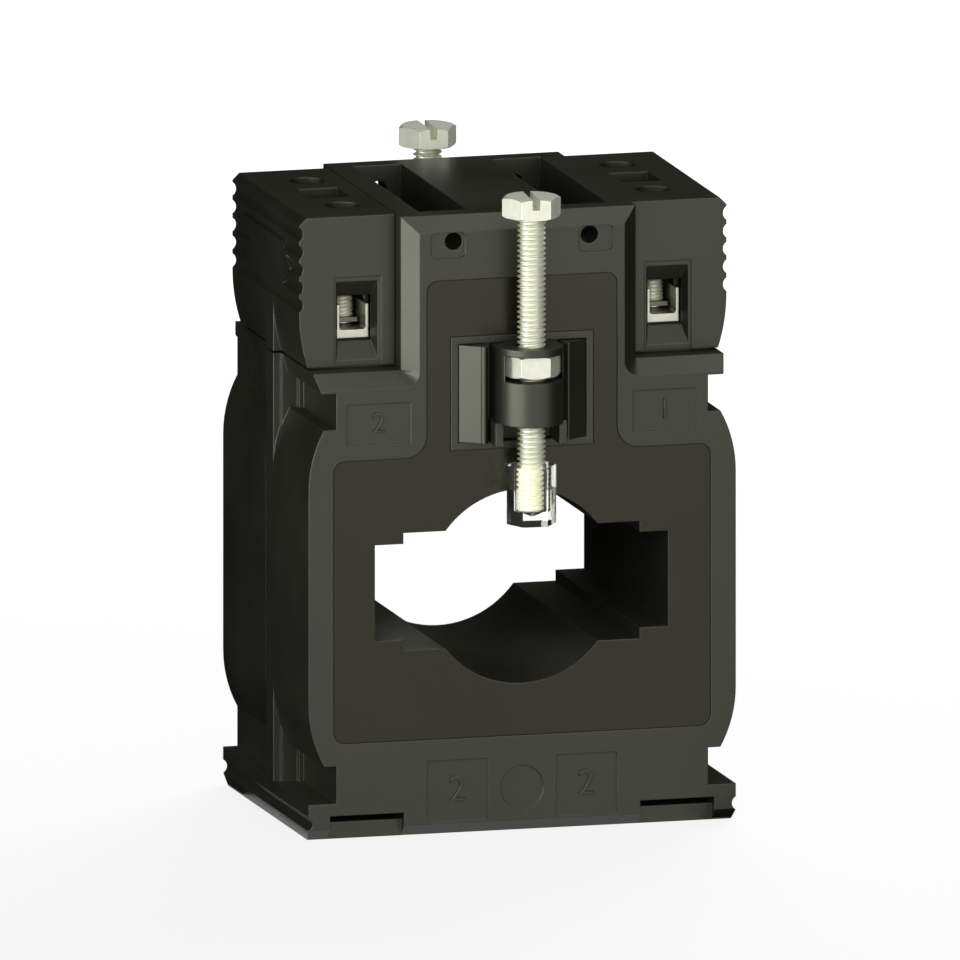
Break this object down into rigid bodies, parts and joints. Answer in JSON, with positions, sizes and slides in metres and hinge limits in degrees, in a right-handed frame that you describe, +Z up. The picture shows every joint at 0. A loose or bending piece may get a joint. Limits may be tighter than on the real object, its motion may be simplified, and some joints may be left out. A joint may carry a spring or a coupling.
{
  "type": "current transformer",
  "caption": "Window-type current transformer with a stepped opening for cable or busbar, clamp screws front and rear, and corner terminal blocks.",
  "frame": {"origin": "centre of the base, at the parting plane of the two housing shells", "axes": "+Z up along the clamp screws, +X to the right across the feet, +Y to the rear along the primary conductor"},
  "size_m": [0.06, 0.0622, 0.0885],
  "materials": {
    "case": "fine moulded matt",
    "label": "glossy printed film, bare",
    "nickel": "nickel plated",
    "contact": "tin plated sheet",
    "clamp_steel": "zinc plated",
    "clear_tip": "clear moulded plastic",
    "core_steel": "wound strip",
    "core_cap": "matt",
    "copper": "enamelled copper wire",
    "tape": "polyester tape",
    "lead": "insulated wire"
  },
  "bodies": {
    "housing": {"front_shell": "case", "front_label": "label", "front_screw_holder": "case", "front_clamp_nut": "nickel", "front_core_cap": "core_cap", "rear_shell": "case", "rear_label": "label", "rear_screw_holder": "case", "rear_clamp_nut": "nickel", "rear_core_cap": "core_cap", "left_contact_bar": "contact", "left_winding_lead": "lead", "left_front_clamp_frame": "clamp_steel", "left_rear_clamp_frame": "clamp_steel", "right_contact_bar": "contact", "right_winding_lead": "lead", "right_front_clamp_frame": "clamp_steel", "right_rear_clamp_frame": "clamp_steel", "core": "core_steel", "secondary_winding": "copper", "winding_tape": "tape"},
    "front_tip": {"front_screw_tip": "clear_tip"},
    "front_screw": {"front_clamp_screw": "nickel"},
    "rear_tip": {"rear_screw_tip": "clear_tip"},
    "rear_screw": {"rear_clamp_screw": "nickel"},
    "left_cover": {"left_terminal_cover": "case"},
    "left_front_plate": {"left_front_pressure_plate": "clamp_steel"},
    "left_front_screw": {"left_front_terminal_screw": "nickel"},
    "left_rear_plate": {"left_rear_pressure_plate": "clamp_steel"},
    "left_rear_screw": {"left_rear_terminal_screw": "nickel"},
    "right_cover": {"right_terminal_cover": "case"},
    "right_front_plate": {"right_front_pressure_plate": "clamp_steel"},
    "right_front_screw": {"right_front_terminal_screw": "nickel"},
    "right_rear_plate": {"right_rear_pressure_plate": "clamp_steel"},
    "right_rear_screw": {"right_rear_terminal_screw": "nickel"}
  },
  "joints": [
    {"name": "front_clamp_travel", "type": "slide", "parent": "housing", "child": "front_tip", "axis": [0, 0, 1], "range_m": [-0.0175, 0.0056]},
    {"name": "front_clamp_turn", "type": "hinge", "parent": "front_tip", "child": "front_screw", "pos_m": [0, -0.0267, 0.08], "axis": [0, 0, 1], "range_deg": [-9000.1, 2880.1]},
    {"name": "rear_clamp_travel", "type": "slide", "parent": "housing", "child": "rear_tip", "axis": [0, 0, 1], "range_m": [-0.0175, 0.0056]},
    {"name": "rear_clamp_turn", "type": "hinge", "parent": "rear_tip", "child": "rear_screw", "pos_m": [0, 0.0267, 0.08], "axis": [0, 0, 1], "range_deg": [-9000.1, 2880.1]},
    {"name": "left_cover_lift", "type": "slide", "parent": "housing", "child": "left_cover", "axis": [0, 0, 1], "range_m": [0, 0.025]},
    {"name": "left_front_terminal_travel", "type": "slide", "parent": "housing", "child": "left_front_plate", "axis": [0, 0, 1], "range_m": [0, 0.003]},
    {"name": "left_front_terminal_turn", "type": "hinge", "parent": "left_front_plate", "child": "left_front_screw", "pos_m": [-0.0218, -0.0091, 0.075], "axis": [0, 0, 1], "range_deg": [-0.1, 2160.1]},
    {"name": "left_rear_terminal_travel", "type": "slide", "parent": "housing", "child": "left_rear_plate", "axis": [0, 0, 1], "range_m": [0, 0.003]},
    {"name": "left_rear_terminal_turn", "type": "hinge", "parent": "left_rear_plate", "child": "left_rear_screw", "pos_m": [-0.0218, 0.0091, 0.075], "axis": [0, 0, 1], "range_deg": [-0.1, 2160.1]},
    {"name": "right_cover_lift", "type": "slide", "parent": "housing", "child": "right_cover", "axis": [0, 0, 1], "range_m": [0, 0.025]},
    {"name": "right_front_terminal_travel", "type": "slide", "parent": "housing", "child": "right_front_plate", "axis": [0, 0, 1], "range_m": [0, 0.003]},
    {"name": "right_front_terminal_turn", "type": "hinge", "parent": "right_front_plate", "child": "right_front_screw", "pos_m": [0.0218, -0.0091, 0.075], "axis": [0, 0, 1], "range_deg": [-0.1, 2160.1]},
    {"name": "right_rear_terminal_travel", "type": "slide", "parent": "housing", "child": "right_rear_plate", "axis": [0, 0, 1], "range_m": [0, 0.003]},
    {"name": "right_rear_terminal_turn", "type": "hinge", "parent": "right_rear_plate", "child": "right_rear_screw", "pos_m": [0.0218, 0.0091, 0.075], "axis": [0, 0, 1], "range_deg": [-0.1, 2160.1]}
  ],
  "couplings": [
    {"joint": "front_clamp_turn", "follows": "front_clamp_travel", "rad_per_m": 8976},
    {"joint": "rear_clamp_turn", "follows": "rear_clamp_travel", "rad_per_m": 8976},
    {"joint": "left_front_terminal_turn", "follows": "left_front_terminal_travel", "rad_per_m": 12566},
    {"joint": "left_rear_terminal_turn", "follows": "left_rear_terminal_travel", "rad_per_m": 12566},
    {"joint": "right_front_terminal_turn", "follows": "right_front_terminal_travel", "rad_per_m": 12566},
    {"joint": "right_rear_terminal_turn", "follows": "right_rear_terminal_travel", "rad_per_m": 12566}
  ]
}
